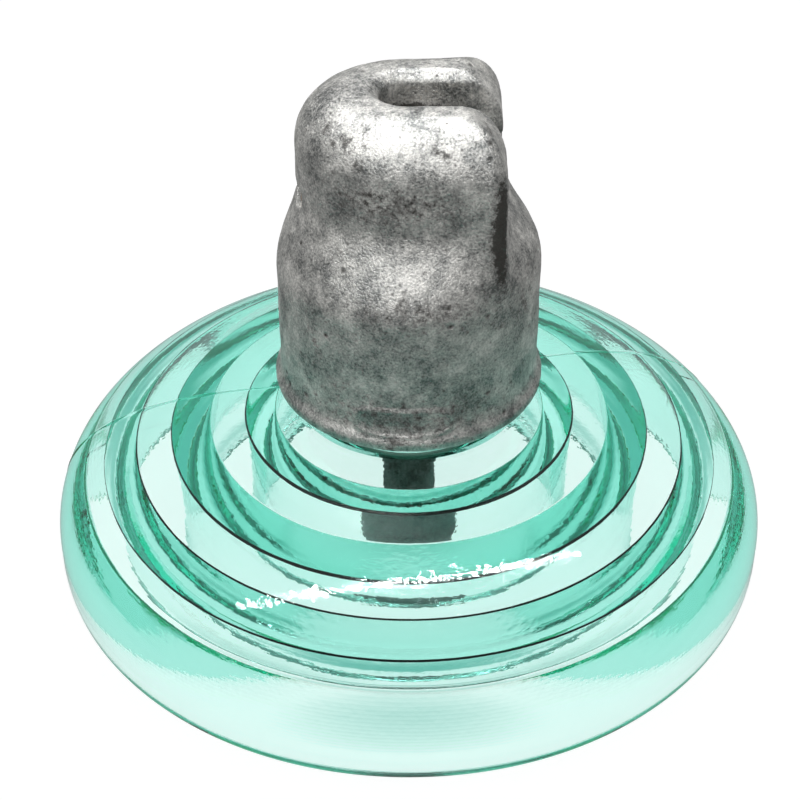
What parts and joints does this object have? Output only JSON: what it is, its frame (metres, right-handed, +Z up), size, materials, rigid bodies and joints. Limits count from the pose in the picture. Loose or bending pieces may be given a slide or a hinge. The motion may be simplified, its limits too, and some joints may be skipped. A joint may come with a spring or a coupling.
{
  "type": "glass insulator",
  "caption": "Cap-and-pin suspension insulator: ribbed toughened-glass disc, galvanised cap with a ball socket and a sliding locking clip, and a ball pin below.",
  "frame": {"origin": "centre of the plane that the glass rim stands on", "axes": "+Z up along the insulator's axis towards the cap, +X out of the socket's mouth"},
  "size_m": [0.255, 0.255, 0.1813],
  "materials": {
    "toughened_glass": "clear pale green pressed glass",
    "galvanised_iron": "hot-dip galvanised malleable casting, weathered grey",
    "galvanised_steel": "hot-dip galvanised forging",
    "cement": "cured mortar",
    "bitumen": "matt black",
    "cork": "pressed cork",
    "bronze": "cold-drawn spring bronze"
  },
  "bodies": {
    "insulator": {"glass_shell": "toughened_glass", "cap": "galvanised_iron", "cap_cement": "cement", "cap_cushion": "bitumen", "pin": "galvanised_steel", "pin_cement": "cement", "pin_cushion": "cork"},
    "locking_clip": {"locking_clip": "bronze"}
  },
  "joints": [
    {"name": "locking_clip_slide", "type": "slide", "parent": "insulator", "child": "locking_clip", "axis": [-1, 0, 0], "range_m": [0, 0.022]}
  ]
}
